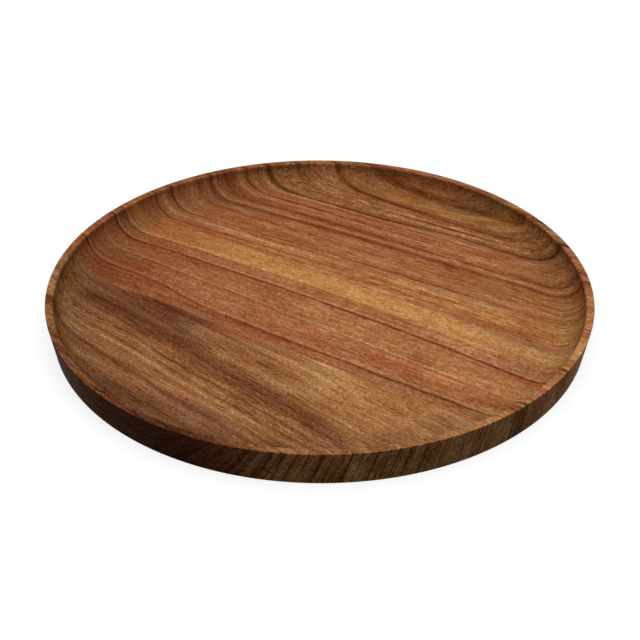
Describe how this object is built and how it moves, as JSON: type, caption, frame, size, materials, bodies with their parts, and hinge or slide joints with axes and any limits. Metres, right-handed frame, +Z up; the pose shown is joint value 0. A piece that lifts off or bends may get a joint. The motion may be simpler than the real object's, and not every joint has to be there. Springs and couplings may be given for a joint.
{
  "type": "wooden serving platter",
  "caption": "Round wooden serving platter with a flat floor, a coved inside wall and a slim upright rim, turned from boards glued edge to edge.",
  "frame": {"origin": "centre of the underside", "axes": "+Z up out of the dish, X along the grain and the glue joints, -Y towards the board with the curly grain"},
  "size_m": [0.33, 0.33, 0.021],
  "materials": {
    "front_wood": "oiled satin, golden brown with curly grain",
    "middle_wood": "oiled satin, reddish with straight grain",
    "rear_wood": "oiled satin, orange-brown with straight grain",
    "glue": "set wood glue, amber"
  },
  "bodies": {
    "root": {"front_board": "front_wood", "front_glue_line": "glue", "middle_board": "middle_wood", "rear_glue_line": "glue", "rear_board": "rear_wood"}
  },
  "joints": []
}
